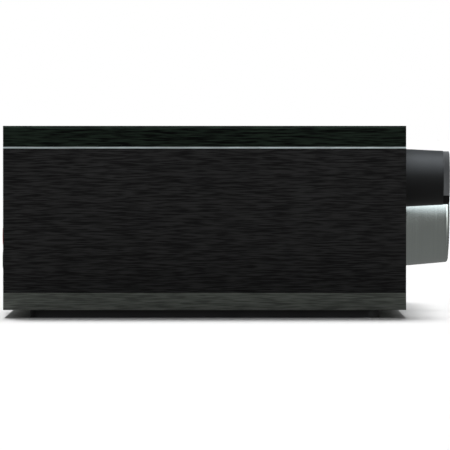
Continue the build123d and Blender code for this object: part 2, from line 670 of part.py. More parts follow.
# Rocker: part of a cylinder about its pins, cut by two faces that meet in a shallow valley.
# It rests with its lower half pressed in, the off position, and swings to the other side.
with BuildPart() as mains_rocker:
    rocker_plane = Plane(
        origin=(SWITCH_AT[0] - ROCKER_W / 2, PIVOT_Y, SWITCH_AT[1]),
        x_dir=(0, cos(radians(ROCKER_SWING)), -sin(radians(ROCKER_SWING))),
        z_dir=(1, 0, 0),
    )
    valley = 4.2
    rise = valley + ROCKER_R * tan(radians(ROCKER_DISH))
    with BuildSketch(rocker_plane):
        Circle(ROCKER_R)
        with BuildLine():
            Polyline(
                (-ROCKER_R / 2, -ROCKER_R),
                (rise, -ROCKER_R),
                (valley, 0),
                (rise, ROCKER_R),
                (-ROCKER_R / 2, ROCKER_R),
                close=True,
            )
        make_face(mode=Mode.INTERSECT)
    extrude(amount=ROCKER_W)
    with Locations((SWITCH_AT[0], PIVOT_Y, SWITCH_AT[1])):
        Cylinder(PIN_R, ROCKER_W + 2.0, rotation=(0, 90, 0))
save(mains_rocker, "mains_rocker")

# ---------------------------------------------------------------- inside
# Toroidal transformer, held down by a dished washer and a through bolt.
with BuildPart() as transformer:
    with BuildSketch(Plane.XY.offset(Z_FLOOR)):
        with Locations(TRANSFORMER_AT):
            Circle(TRANSFORMER_R)
            Circle(16.0, mode=Mode.SUBTRACT)
    extrude(amount=TRANSFORMER_H)
    fillet(transformer.edges().filter_by(GeomType.CIRCLE).group_by(Axis.Z)[-1], 12.0)
save(transformer, "transformer")

with BuildPart() as transformer_clamp:
    top_z = Z_FLOOR + TRANSFORMER_H
    with Locations((*TRANSFORMER_AT, top_z + 1.0)):
        Cylinder(32.0, 2.0)
    with Locations((*TRANSFORMER_AT, (Z_FLOOR + top_z + 8.0) / 2)):
        Cylinder(3.0, top_z + 8.0 - Z_FLOOR)
    with Locations((*TRANSFORMER_AT, top_z + 4.5)):
        Cylinder(6.0, 5.0)
save(transformer_clamp, "transformer_clamp")

# Heat sink: a thick spine standing on the tray, with its fins towards the front.
SINK_TOP = 112.0
with BuildPart() as heat_sink:
    spine_y = (SINK_Y[1] - 6.0, SINK_Y[1])
    block(SINK_X, spine_y, (Z_FLOOR, SINK_TOP))
    with BuildSketch(Plane.XY.offset(Z_FLOOR)):
        with Locations((sum(SINK_X) / 2, (SINK_Y[0] + spine_y[0]) / 2)):
            with GridLocations(10.0, 1.0, SINK_FINS, 1):
                Rectangle(2.0, spine_y[0] - SINK_Y[0])
    extrude(amount=SINK_TOP - Z_FLOOR)
save(heat_sink, "heat_sink")

# Amplifier board on its standoffs, with the output transistors and the reservoir capacitors.
board_top = AMP_BOARD_Z + BOARD_T
with BuildPart() as amplifier_board:
    block(AMP_BOARD_X, AMP_BOARD_Y, (AMP_BOARD_Z, board_top))
save(amplifier_board, "amplifier_board")

with BuildPart() as board_standoffs:
    with Locations((sum(AMP_BOARD_X) / 2, sum(AMP_BOARD_Y) / 2, (Z_FLOOR + AMP_BOARD_Z) / 2)):
        with GridLocations(190.0, 70.0, 2, 2):
            Cylinder(3.5, AMP_BOARD_Z - Z_FLOOR)
save(board_standoffs, "board_standoffs")

with BuildPart() as output_transistors:
    for x in (-35.0, 10.0, 60.0, 105.0):
        block((x - 8.0, x + 8.0), (SINK_Y[1], SINK_Y[1] + 5.0), (32.0, 52.0))
        for dx in (-5.5, 0.0, 5.5):
            leg_x = (x + dx - 0.6, x + dx + 0.6)
            block(leg_x, (SINK_Y[1] + 2.2, SINK_Y[1] + 3.4), (board_top, 32.0))
save(output_transistors, "output_transistors")

with BuildPart() as filter_capacitors:
    for x in (-40.0, 5.0):
        with Locations((x, 92.0, board_top + CAPACITOR_H / 2)):
            Cylinder(CAPACITOR_R, CAPACITOR_H)
save(filter_capacitors, "filter_capacitors")

# Input board: stands behind the phono sockets, whose tails it carries.
with BuildPart() as input_board:
    board_x = (PHONO_X - 60.0, PHONO_X + 60.0)
    block(board_x, (INNER_REAR - 6.0 - BOARD_T, INNER_REAR - 6.0), (30.0, 96.0))
    with BuildSketch(facing_front(INNER_REAR)):
        with Locations((PHONO_X, PHONO_Z)):
            with GridLocations(PHONO_PITCH * 3, PHONO_PITCH * 2 + 20.0, 2, 2):
                Rectangle(8.0, 6.0)
    extrude(amount=6.0)
save(input_board, "input_board")

# Tuner module: a screened box fixed inside the rear panel behind the antenna socket.
with BuildPart() as tuner_module:
    block((140.0, 200.0), (INNER_REAR - 46.0, INNER_REAR - 2.0), (54.0, 86.0))
    for x in (146.0, 194.0):
        block((x - 3.0, x + 3.0), (INNER_REAR - 2.0, INNER_REAR), (58.0, 82.0))
save(tuner_module, "tuner_module")
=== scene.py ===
import json
import math

import bmesh
import bpy
from mathutils import Matrix, Vector


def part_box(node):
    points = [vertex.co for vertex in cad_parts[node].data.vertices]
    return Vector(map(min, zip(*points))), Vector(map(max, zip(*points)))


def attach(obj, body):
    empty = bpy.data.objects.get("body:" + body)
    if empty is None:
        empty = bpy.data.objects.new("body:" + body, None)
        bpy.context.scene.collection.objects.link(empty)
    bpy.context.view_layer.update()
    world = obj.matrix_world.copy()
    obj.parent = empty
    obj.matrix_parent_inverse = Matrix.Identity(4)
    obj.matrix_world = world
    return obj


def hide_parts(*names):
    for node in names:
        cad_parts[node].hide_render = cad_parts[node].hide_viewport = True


# A stereo receiver. Everything is in metres in the part's own frame: +Z up, the front faces -Y,
# and the left side, which the camera looks at, faces -X.

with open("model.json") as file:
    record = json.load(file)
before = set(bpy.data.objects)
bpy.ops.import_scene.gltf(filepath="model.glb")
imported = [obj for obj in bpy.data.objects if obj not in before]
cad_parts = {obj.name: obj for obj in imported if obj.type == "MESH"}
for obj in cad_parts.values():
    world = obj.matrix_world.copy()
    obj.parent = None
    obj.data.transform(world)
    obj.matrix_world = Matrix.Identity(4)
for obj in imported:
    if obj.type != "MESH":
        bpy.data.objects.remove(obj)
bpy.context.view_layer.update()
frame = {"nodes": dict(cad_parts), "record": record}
scene = bpy.context.scene
MM = 0.001


# ---------------------------------------------------------------- node graphs
class Net:
    """A node tree, with short calls that add a node and give its output."""

    def __init__(self, tree):
        self.tree = tree

    def put(self, socket, value):
        if isinstance(value, bpy.types.NodeSocket):
            self.tree.links.new(value, socket)
        else:
            socket.default_value = value

    def node(self, kind, **settings):
        made = self.tree.nodes.new("ShaderNode" + kind)
        for name, value in settings.items():
            setattr(made, name, value)
        return made

    def calc(self, operation, *values):
        made = self.node("Math", operation=operation)
        for socket, value in zip(made.inputs, values):
            self.put(socket, value)
        return made.outputs[0]

    def place(self):
        """The point on the piece at rest, as three separate values."""
        split = self.node("SeparateXYZ")
        self.put(split.inputs[0], self.node("TexCoord").outputs["Object"])
        return split.outputs

    def facing(self):
        """The surface's own normal, as three separate values."""
        split = self.node("SeparateXYZ")
        self.put(split.inputs[0], self.node("TexCoord").outputs["Normal"])
        return split.outputs

    def vector(self, x, y, z):
        made = self.node("CombineXYZ")
        for socket, value in zip(made.inputs, (x, y, z)):
            self.put(socket, value)
        return made.outputs[0]

    def noise(self, vector, scale, detail=2.0):
        made = self.node("TexNoise")
        self.put(made.inputs["Vector"], vector)
        self.put(made.inputs["Scale"], scale)
        self.put(made.inputs["Detail"], detail)
        return made.outputs[0]

    def remap(self, value, span, target):
        """Carries value from span onto target, and stops at target's ends."""
        made = self.node("MapRange")
        self.put(made.inputs["Value"], value)
        self.put(made.inputs["From Min"], span[0])
        self.put(made.inputs["From Max"], span[1])
        self.put(made.inputs["To Min"], target[0])
        self.put(made.inputs["To Max"], target[1])
        return made.outputs[0]

    def mix(self, factor, first, second):
        """A mix of two numbers."""
        made = self.node("Mix", data_type="FLOAT")
        for socket, value in zip(made.inputs[:1] + made.inputs[2:4], (factor, first, second)):
            self.put(socket, value)
        return made.outputs[0]

    def blend(self, factor, first, second):
        """A mix of two colours."""
        made = self.node("Mix", data_type="RGBA")
        for socket, value in zip(made.inputs[:1] + made.inputs[6:8], (factor, first, second)):
            self.put(socket, value)
        return made.outputs[2]


class Graph(Net):
    """A material's node tree, and what feeds its shader."""

    def __init__(self, name, constants):
        self.material = bpy.data.materials.new(name)
        self.material.use_nodes = True
        super().__init__(self.material.node_tree)
        self.shader = self.tree.nodes["Principled BSDF"]
        for socket, value in constants.items():
            self.put(self.shader.inputs[socket], value)

    def bump(self, height, depth):
        """Relief of the given depth, in metres, on the shader's normal."""
        made = self.node("Bump")
        self.put(made.inputs["Strength"], 1.0)
        self.put(made.inputs["Distance"], depth)
        self.put(made.inputs["Height"], height)
        self.put(self.shader.inputs["Normal"], made.outputs[0])

    def edges(self, reach):
        """1 along the piece's sharp edges, for the given reach in metres, and 0 elsewhere."""
        rounded = self.node("Bevel")
        self.put(rounded.inputs["Radius"], reach)
        match = self.node("VectorMath", operation="DOT_PRODUCT")
        self.put(match.inputs[0], rounded.outputs[0])
        self.put(match.inputs[1], self.node("NewGeometry").outputs["Normal"])
        return self.remap(match.outputs["Value"], (0.98, 0.85), (0.0, 1.0))

    def colour(self, value):
        self.put(self.shader.inputs["Base Color"], value)

    def rough(self, value):
        self.put(self.shader.inputs["Roughness"], value)


def grey(level, tint=(1.0, 1.0, 1.0)):
    """A linear colour of the given level, tinted."""
    return (level * tint[0], level * tint[1], level * tint[2], 1.0)


def scaled(colour, factor):
    """The same linear colour, brighter or darker by the given factor."""
    return (colour[0] * factor, colour[1] * factor, colour[2] * factor, 1.0)


# ---------------------------------------------------------------- finishes
STREAK_ALONG = 68.0  # the brushing's noise cells to a metre, along its strokes
STREAK_ACROSS = 1120.0  # and across them
STREAK_DEPTH = 3.0  # and straight into the face
HAIRLINE = 2.6  # how many times finer the second set of strokes is
STROKE_RELIEF = 0.01 * MM
EDGE_REACH = 0.25 * MM


def brushed(name, colour, roughness, contrast, specular, metallic=0.0, slope_highlight=1.0, wear_and_glint=0.8, top=None):
    """Sheet metal brushed in long fine strokes: along Y on the sides and top, along X front and rear.

    slope_highlight brightens the faces that slope up as a painted highlight, wear_and_glint brightens the
    sharp edges as worn bare metal and as a painted edge highlight, and top is the colour of the faces that
    lie flat where it differs.
    """
    g = Graph(name, {"Metallic": metallic, "Specular IOR Level": specular})
    x, y, z = g.place()
    _, ny, nz = g.facing()
    in_front = g.calc("GREATER_THAN", g.calc("ABSOLUTE", ny), 0.7)
    on_top = g.calc("GREATER_THAN", g.calc("ABSOLUTE", nz), 0.7)
    along = g.mix(in_front, y, x)
    across = g.mix(on_top, z, x)
    depth_axis = g.mix(in_front, x, y)

    def strokes(stretch):
        vector = g.vector(
            g.calc("MULTIPLY", along, STREAK_ALONG * stretch),
            g.calc("MULTIPLY", across, STREAK_ACROSS * stretch),
            g.calc("MULTIPLY", depth_axis, STREAK_DEPTH * stretch),
        )
        return g.noise(vector, 1.0, 1.0)

    long_strokes = strokes(1.0)
    fine_strokes = strokes(HAIRLINE)
    mottle = g.noise(g.vector(x, y, z), 14.0, 2.0)
    streaks = g.calc("ADD", g.calc("MULTIPLY", long_strokes, 0.8), g.calc("MULTIPLY", fine_strokes, 0.2))
    tone = g.remap(streaks, (0.38, 0.62), (1.0 - contrast, 1.0 + contrast))
    tone = g.calc("MULTIPLY", tone, g.remap(mottle, (0.3, 0.7), (0.94, 1.06)))
    # Painted highlight: faces that slope up are made lighter, where overhead light would catch them.
    sloped = g.calc("MULTIPLY", g.remap(nz, (0.05, 0.25), (0.0, 1.0)), g.calc("SUBTRACT", 1.0, on_top))
    tone = g.calc("MULTIPLY", tone, g.mix(sloped, 1.0, slope_highlight))
    shade = g.node("VectorMath", operation="SCALE")
    g.put(shade.inputs[0], g.blend(on_top, colour, top or colour))
    # Sharp edges are made lighter: partly worn bare metal, partly a painted edge highlight.
    g.put(shade.inputs["Scale"], g.calc("ADD", tone, g.calc("MULTIPLY", g.edges(EDGE_REACH), wear_and_glint)))
    g.colour(shade.outputs[0])
    g.rough(g.remap(streaks, (0.3, 0.7), (roughness - 0.05, roughness + 0.07)))
    g.bump(streaks, STROKE_RELIEF)
    return g.material


TOOL_RINGS = 1500.0  # the lathe marks' noise cells to a metre
TOOL_RELIEF = 0.0002 * MM


def turned(name, colour, at, roughness, contrast, specular=0.5, metallic=1.0):
    """A part finished on a lathe about the line along Y through at: rings on its sides and face."""
    g = Graph(name, {"Metallic": metallic, "Specular IOR Level": specular})
    x, y, z = g.place()
    out_x = g.calc("SUBTRACT", x, at[0])
    out_z = g.calc("SUBTRACT", z, at[1])
    radius = g.calc("SQRT", g.calc("ADD", g.calc("MULTIPLY", out_x, out_x), g.calc("MULTIPLY", out_z, out_z)))
    tool = g.vector(g.calc("MULTIPLY", radius, TOOL_RINGS), g.calc("MULTIPLY", y, TOOL_RINGS), 0.0)
    marks = g.noise(tool, 1.0, 1.0)
    broad = g.noise(tool, 0.12, 1.0)
    handling = g.noise(g.vector(x, y, z), 60.0, 3.0)
    streaks = g.calc("ADD", g.calc("MULTIPLY", marks, 0.85), g.calc("MULTIPLY", broad, 0.15))
    tone = g.remap(streaks, (0.3, 0.7), (1.0 - contrast, 1.0 + contrast))
    shade = g.node("VectorMath", operation="SCALE")
    g.put(shade.inputs[0], colour[:3])
    g.put(shade.inputs["Scale"], tone)
    g.colour(shade.outputs[0])
    g.rough(
        g.calc(
            "ADD",
            g.remap(streaks, (0.3, 0.7), (roughness - 0.03, roughness + 0.03)),
            g.remap(handling, (0.35, 0.7), (-0.02, 0.03)),
        )
    )
    g.bump(marks, TOOL_RELIEF)
    return g.material


def grained(name, colour, roughness, grain, depth, tone=0.12, specular=0.5):
    """A moulded, painted or rubber surface: grain of a depth in mm, and slow changes of tone."""
    g = Graph(name, {"Specular IOR Level": specular})
    place = g.vector(*g.place())
    fine = g.noise(place, grain, 3.0)
    slow = g.noise(place, 45.0, 3.0)
    g.colour(
        g.blend(
            g.remap(g.calc("ADD", fine, slow), (0.7, 1.3), (0.0, 1.0)),
            scaled(colour, 1.0 - tone),
            scaled(colour, 1.0 + tone),
        )
    )
    g.rough(g.remap(slow, (0.3, 0.7), (roughness - 0.06, roughness + 0.06)))
    g.bump(fine, depth * MM)
    return g.material


def plated(name, colour, roughness):
    """Bright plating with faint polishing lines and a little tarnish."""
    g = Graph(name, {"Metallic": 1.0})
    x, y, z = g.place()
    lines = g.noise(g.vector(g.calc("MULTIPLY", x, 0.2), y, z), 900.0, 2.0)
    stain = g.noise(g.vector(x, y, z), 120.0, 3.0)
    g.colour(g.blend(g.remap(stain, (0.4, 0.75), (0.0, 1.0)), colour, scaled(colour, 0.8)))
    dulled = g.remap(stain, (0.35, 0.7), (0.0, 0.1))
    g.rough(g.calc("ADD", dulled, g.remap(lines, (0.3, 0.7), (roughness, roughness + 0.05))))
    g.bump(lines, 0.003 * MM)
    return g.material


def laminate(name):
    """Circuit board: solder mask over a net of copper tracks and pads."""
    g = Graph(name, {"Specular IOR Level": 0.5})
    place = g.vector(*g.place())

    def cells(feature, scale, span):
        made = g.node("TexVoronoi", feature=feature)
        g.put(made.inputs["Vector"], place)
        g.put(made.inputs["Scale"], scale)
        return g.remap(made.outputs["Distance"], span, (1.0, 0.0))

    track = cells("DISTANCE_TO_EDGE", 190.0, (0.05, 0.08))
    pad = cells("F1", 320.0, (0.16, 0.2))
    mask = g.blend(track, (0.006, 0.05, 0.02, 1.0), (0.012, 0.1, 0.04, 1.0))
    g.colour(g.blend(pad, mask, (0.55, 0.55, 0.5, 1.0)))
    g.rough(g.remap(pad, (0.0, 1.0), (0.3, 0.42)))
    g.bump(g.calc("ADD", track, pad), 0.03 * MM)
    return g.material


TURNS_A_RADIAN = 28.0


def wound(name, at):
    """Tape and windings laid round a ring core: narrow radial turns with a soft sheen."""
    g = Graph(name, {"Specular IOR Level": 0.6, "Coat Weight": 0.3, "Coat Roughness": 0.2})
    x, y, z = g.place()
    angle = g.calc("ARCTAN2", g.calc("SUBTRACT", y, at[1]), g.calc("SUBTRACT", x, at[0]))
    turns = g.calc("FRACT", g.calc("MULTIPLY", angle, TURNS_A_RADIAN))
    ridge = g.calc("SINE", g.calc("MULTIPLY", turns, math.pi))
    uneven = g.noise(g.vector(x, y, z), 90.0, 3.0)
    # Painted shade and highlight: each turn is coloured darker towards its grooves and lighter on its crown,
    # following its rounded profile; the uneven noise adds random tone.
    g.colour(g.blend(g.calc("MULTIPLY", ridge, uneven), (0.12, 0.045, 0.01, 1.0), (0.62, 0.33, 0.09, 1.0)))
    g.rough(g.remap(uneven, (0.3, 0.7), (0.28, 0.45)))
    g.bump(ridge, 0.3 * MM)
    return g.material


def smoked(name):
    """Polished smoke-grey window with a trace of waviness and dust."""
    g = Graph(name, {"Transmission Weight": 0.9, "IOR": 1.49, "Specular IOR Level": 0.5})
    place = g.vector(*g.place())
    dust = g.noise(place, 700.0, 4.0)
    dusty = g.remap(dust, (0.62, 0.75), (0.0, 1.0))
    g.colour(g.blend(dusty, (0.16, 0.165, 0.18, 1.0), (0.2, 0.2, 0.21, 1.0)))
    g.rough(g.remap(dust, (0.6, 0.75), (0.02, 0.06)))
    g.bump(g.noise(place, 25.0, 1.0), 0.02 * MM)
    return g.material


def lit(name, colour, strength):
    """A glowing phosphor or lamp, a little uneven."""
    g = Graph(name, {"Roughness": 0.4, "Emission Strength": strength})
    glow = g.noise(g.vector(*g.place()), 500.0, 2.0)
    shade = g.blend(glow, scaled(colour, 0.8), colour)
    g.colour(shade)
    g.put(g.shader.inputs["Emission Color"], shade)
    return g.material


def middle(node):
    """The middle of a CAD node's box."""
    low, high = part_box(node)
    return (low + high) / 2


def centre_xz(node):
    """Where the line along Y through a CAD node's middle stands, as (x, z)."""
    spot = middle(node)
    return (spot.x, spot.z)


SELECTOR = centre_xz("selector_knob")
VOLUME = centre_xz("volume_knob")
TORUS = middle("transformer")


SEGMENT_DROP = 13.8 * MM


def capped(name, at):
    """The selector's satin grey cap, coloured near-black below a level SEGMENT_DROP under its centre."""
    material = turned(name, grey(0.128, (0.96, 1.0, 1.04)), at, 0.6, 0.05, specular=0.04, metallic=0.0)
    net = Net(material.node_tree)
    base = net.tree.nodes["Principled BSDF"].inputs["Base Color"]
    below = net.calc("LESS_THAN", net.place()[2], at[1] - SEGMENT_DROP)
    net.put(base, net.blend(below, base.links[0].from_socket, grey(0.008)))
    return material


FINISHES = {
    "cover_black": brushed(
        "cover_black", (0.0064, 0.0107, 0.0073, 1.0), 0.42, 0.92, specular=0.05, slope_highlight=1.75, wear_and_glint=0.3,
        top=(0.0072, 0.0086, 0.0075, 1.0),
    ),
    "panel_black": brushed("panel_black", grey(0.0163), 0.42, 0.58, specular=0.05),
    "fascia_black": brushed("fascia_black", grey(0.014), 0.4, 0.5, specular=0.1),
    "tray_graphite": brushed("tray_graphite", (0.112, 0.122, 0.108, 1.0), 0.42, 0.33, specular=0.1),
    "trim_silver": brushed("trim_silver", (0.78, 0.88, 0.88, 1.0), 0.33, 0.06, specular=0.5, metallic=1.0),
    "knob_black": turned(
        "knob_black", grey(0.0064, (0.94, 1.0, 1.02)), SELECTOR, 0.45, 0.1, specular=0.23, metallic=0.0
    ),
    "cap_grey": capped("cap_grey", SELECTOR),
    "knob_silver": turned("knob_silver", grey(0.5, (0.92, 1.0, 0.95)), VOLUME, 0.23, 0.05),
    "disc_silver": turned("disc_silver", grey(0.6, (0.97, 1.0, 0.98)), VOLUME, 0.16, 0.05),
    "window_smoke": smoked("window_smoke"),
    "display_glass": grained("display_glass", (0.004, 0.008, 0.009, 1.0), 0.12, 900.0, 0.002),
    "key_black": grained("key_black", grey(0.012), 0.36, 2600.0, 0.01),
    "lamp_amber": lit("lamp_amber", (0.9, 0.28, 0.04, 1.0), 1.5),
    "jack_black": grained("jack_black", grey(0.012), 0.5, 2200.0, 0.02),
    "rail_black": grained("rail_black", grey(0.012), 0.6, 1800.0, 0.004, tone=0.03, specular=0.2),
    "sole_rubber": grained("sole_rubber", grey(0.01), 0.8, 1500.0, 0.06, specular=0.3),
    "screw_steel": plated("screw_steel", grey(0.06), 0.4),
    "rear_black": grained("rear_black", grey(0.012), 0.55, 2000.0, 0.05, specular=0.4),
    "plate_black": grained("plate_black", grey(0.014), 0.4, 2400.0, 0.015),
    "post_red": grained("post_red", (0.42, 0.012, 0.012, 1.0), 0.28, 1600.0, 0.01),
    "post_black": grained("post_black", grey(0.012), 0.28, 1600.0, 0.01),
    "contact_gold": plated("contact_gold", (0.9, 0.6, 0.22, 1.0), 0.22),
    "contact_nickel": plated("contact_nickel", (0.68, 0.65, 0.6, 1.0), 0.25),
    "shaft_steel": plated("shaft_steel", (0.55, 0.55, 0.55, 1.0), 0.3),
    "board_green": laminate("board_green"),
    "component_black": grained("component_black", grey(0.015), 0.5, 2000.0, 0.03),
    "can_steel": plated("can_steel", (0.6, 0.6, 0.6, 1.0), 0.35),
    "sink_black": brushed("sink_black", grey(0.015), 0.45, 0.25, specular=0.4),
    "winding_amber": wound("winding_amber", (TORUS.x, TORUS.y)),
    "sleeve_black": grained("sleeve_black", (0.01, 0.01, 0.03, 1.0), 0.35, 1200.0, 0.02),
}

for subpart in frame["record"]["subparts"]:
    mesh = frame["nodes"][subpart["node"]].data
    mesh.materials.clear()
    mesh.materials.append(FINISHES[subpart["material_slot"]])


# ---------------------------------------------------------------- building pieces
CREASE = math.radians(35.0)  # edges that fold more than this are drawn sharp


def build(name, bm, slot, body, material=None, stands_for=()):
    """Turns a mesh under construction into a named piece that rides on a CAD body."""
    bmesh.ops.recalc_face_normals(bm, faces=bm.faces)
    for face in bm.faces:
        face.smooth = True
    for edge in bm.edges:
        edge.smooth = len(edge.link_faces) == 2 and edge.calc_face_angle(0.0) < CREASE
    mesh = bpy.data.meshes.new(name)
    bm.to_mesh(mesh)
    bm.free()
    piece = bpy.data.objects.new(name, mesh)
    scene.collection.objects.link(piece)
    mesh.materials.append(material or FINISHES[slot])
    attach(piece, body)
    if stands_for:
        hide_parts(*stands_for)
    return piece


def sweep(bm, rings):
    """Skins a run of rings, each a list of vertices; a ring of one vertex is a pole."""
    for first, second in zip(rings, rings[1:]):
        count = max(len(first), len(second))
        for i in range(count):
            corners = []
            for ring, at in ((first, i), (first, i + 1), (second, i + 1), (second, i)):
                corner = ring[at % len(ring)]
                if corner not in corners:
                    corners.append(corner)
            if len(corners) > 2:
                bm.faces.new(corners)


def lathe(bm, at, profile, segments):
    """The surface that a profile of (radius, y) points sweeps about the line along Y through at."""
    rings = []
    for radius, y in profile:
        if radius < 1e-7:
            rings.append([bm.verts.new((at[0], y, at[1]))])
            continue
        turn = [2 * math.pi * i / segments for i in range(segments)]
        rings.append(
            [bm.verts.new((at[0] + radius * math.cos(a), y, at[1] + radius * math.sin(a))) for a in turn]
        )
    sweep(bm, rings)


def arc(centre, radius, start, end, steps):
    """Points along a circle of a profile, from one angle to another in degrees."""
    angles = [math.radians(start + (end - start) * i / steps) for i in range(steps + 1)]
    return [(centre[0] + radius * math.cos(a), centre[1] + radius * math.sin(a)) for a in angles]


def dot(bm, at, radius, base_y, proud, segments=20):
    """A printed or moulded dot on a face across Y; proud may be negative to face the front."""
    edge, face_y = radius * 0.12, base_y + proud
    profile = [(radius, base_y), (radius, base_y + proud * 0.5), (radius - edge, face_y), (0, face_y)]
    lathe(bm, at, profile, segments)


def bar(bm, centre, length, width, base_y, proud, turn=0.0):
    """A round-ended bar on a face across Y, turned in degrees from lying along X."""
    half, r = length / 2 - width / 2, width / 2
    outline = [
        (side * half + r * math.cos(a), r * math.sin(a))
        for side, start in ((1, -90), (-1, 90))
        for a in [math.radians(start + 30 * i) for i in range(7)]
    ]
    cosine, sine = math.cos(math.radians(turn)), math.sin(math.radians(turn))
    rings = []
    for scale, y in ((1.0, base_y), (1.0, base_y + proud * 0.6), (0.94, base_y + proud)):
        ring = []
        for u, v in outline:
            across, up = u * cosine - v * sine, u * sine + v * cosine
            ring.append(bm.verts.new((centre[0] + scale * across, y, centre[1] + scale * up)))
        rings.append(ring)
    rings.append([bm.verts.new((centre[0], base_y + proud, centre[1]))])
    sweep(bm, rings)


def frame_line(bm, low, high, corner, width, base_y, proud):
    """A printed rounded outline on a face across Y, between two (x, z) corners."""
    rings = []
    for inset, y in ((0.0, base_y), (0.0, base_y + proud), (width, base_y + proud), (width, base_y)):
        ring = []
        for cx, cz, start in (
            (high[0] - corner, low[1] + corner, -90),
            (high[0] - corner, high[1] - corner, 0),
            (low[0] + corner, high[1] - corner, 90),
            (low[0] + corner, low[1] + corner, 180),
        ):
            for i in range(7):
                a = math.radians(start + 15 * i)
                r = corner - inset
                ring.append(bm.verts.new((cx + r * math.cos(a), y, cz + r * math.sin(a))))
        rings.append(ring)
    rings.append(rings[0])
    sweep(bm, rings)


RECESS = 0.45  # the cross recess's depth, as a share of the head's height


def screw_head(bm, seat, out, radius, height):
    """A domed head with a cross recess, at seat, standing out along a unit vector."""
    out = Vector(out)
    across = out.orthogonal().normalized()
    up = out.cross(across)
    count = 48

    def ring(reach, rise):
        points = []
        for i in range(count):
            a = 2 * math.pi * i / count
            r = reach(a) if callable(reach) else reach
            spoke = across * math.cos(a) + up * math.sin(a)
            points.append(bm.verts.new(seat + spoke * r + out * rise))
        return points

    def cross(size):
        def reach(a):
            nearest = (a + math.pi / 4) % (math.pi / 2) - math.pi / 4
            arm = size / max(math.cos(nearest), 1e-3)
            flank = size * 0.26 / max(abs(math.sin(nearest)), 1e-3)
            return min(arm, flank)

        return reach

    dome = [(math.cos(math.radians(t)), math.sin(math.radians(t))) for t in (0, 20, 40, 58, 72)]
    rings = [[bm.verts.new(seat)], ring(radius, 0.0)]
    rings += [ring(radius * (0.35 + 0.65 * c), height * (0.35 + 0.65 * s)) for c, s in dome]
    rings.append(ring(cross(radius * 0.62), height * 0.99))
    rings.append(ring(cross(radius * 0.56), height * (1.0 - RECESS)))
    rings.append([bm.verts.new(seat + out * height * (1.0 - RECESS))])
    sweep(bm, rings)


PRINT = grained("print_grey", grey(0.42), 0.55, 1500.0, 0.004, tone=0.06)
PRINT_RED = grained("print_red", (0.5, 0.02, 0.02, 1.0), 0.5, 1500.0, 0.004, tone=0.06)
PRINT_WHITE = grained("print_white", grey(0.75), 0.5, 1500.0, 0.004, tone=0.05)
LIT = lit("segments_lit", (0.35, 0.85, 1.0, 1.0), 2.2)
UNLIT = grained("segments_unlit", (0.012, 0.022, 0.026, 1.0), 0.4, 1500.0, 0.002)

# ---------------------------------------------------------------- knobs
barrel_low, barrel_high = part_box("volume_knob")
disc_low, disc_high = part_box("volume_disc")
BARREL_R = (barrel_high.x - barrel_low.x) / 2
DISC_R = (disc_high.x - disc_low.x) / 2
BARREL_EDGE = 2.3 * MM
RIM_Y = barrel_low.y
NOSE_R = DISC_R + BARREL_EDGE + 0.1 * MM
SOCKET_DEPTH = 2.5 * MM
KNOB_SEGMENTS = 192


def volume_barrel():
    """The large knob: a smooth tapered barrel with a rounded lip, a foot chamfer and a hollow back."""
    wall, web, foot = 4.0 * MM, 6.5 * MM, 0.4 * MM
    bm = bmesh.new()
    lip = arc((NOSE_R - BARREL_EDGE, RIM_Y + BARREL_EDGE), BARREL_EDGE, -90, 0, 10)
    profile = [(0, RIM_Y + SOCKET_DEPTH), (DISC_R, RIM_Y + SOCKET_DEPTH), (DISC_R, RIM_Y)] + lip
    profile += [
        (BARREL_R, barrel_high.y - foot),
        (BARREL_R - foot, barrel_high.y),
        (BARREL_R - wall, barrel_high.y),
        (NOSE_R - wall, RIM_Y + web),
        (0, RIM_Y + web),
    ]
    lathe(bm, VOLUME, profile, KNOB_SEGMENTS)
    return build("volume_barrel", bm, "knob_silver", "volume", stands_for=["volume_knob"])


def volume_face():
    """The domed disc, with a fine step near its edge, and the index dot on it."""
    dome = RIM_Y - disc_low.y
    bm = bmesh.new()
    step_r = DISC_R * 0.86
    step = 0.12 * MM
    gap = 0.15 * MM

    def out(r):
        """Where the dome's face stands at a radius r."""
        return disc_low.y + dome * (r / DISC_R) ** 2

    radii = [DISC_R * f for f in (0.0, 0.15, 0.3, 0.45, 0.6, 0.72, 0.8)]
    profile = [(r, out(r)) for r in radii]
    profile += [
        (step_r - step, out(step_r - step)),
        (step_r, out(step_r) + step),
        (step_r + step, out(step_r)),
        (DISC_R * 0.93, out(DISC_R * 0.93)),
        (DISC_R - 0.6 * MM, out(DISC_R - 0.6 * MM)),
        (DISC_R - gap, RIM_Y + 0.35 * MM),
        (DISC_R - gap, RIM_Y + SOCKET_DEPTH),
        (0, RIM_Y + SOCKET_DEPTH),
    ]
    lathe(bm, VOLUME, profile, KNOB_SEGMENTS)
    face = build("volume_face", bm, "disc_silver", "volume", stands_for=["volume_disc"])
    bm = bmesh.new()
    index_r = DISC_R * 0.72
    at = (VOLUME[0], VOLUME[1] + index_r)
    dot(bm, at, 1.7 * MM, out(index_r) + 0.2 * MM, -0.3 * MM, 32)
    return [face, build("volume_index", bm, "knob_black", "volume")]


volume_pieces = [volume_barrel()] + volume_face()

cap_low, cap_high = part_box("selector_cap")
bm = bmesh.new()
CAP_R = (cap_high.x - cap_low.x) / 2
spot = (SELECTOR[0], SELECTOR[1] + CAP_R * 0.7)
bar(bm, spot, CAP_R * 0.42, 1.1 * MM, cap_low.y + 0.05 * MM, -0.1 * MM, 90.0)
selector_index = build("selector_index", bm, "trim_silver", "selector", PRINT_WHITE)
selector_pieces = [frame["nodes"]["selector_knob"], frame["nodes"]["selector_cap"], selector_index]

# ---------------------------------------------------------------- front
FACE_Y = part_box("front_fascia")[0].y
PRINT_T = 0.06 * MM
SCALE_CLEAR = 4.0 * MM  # from a knob's edge to the scale printed round it


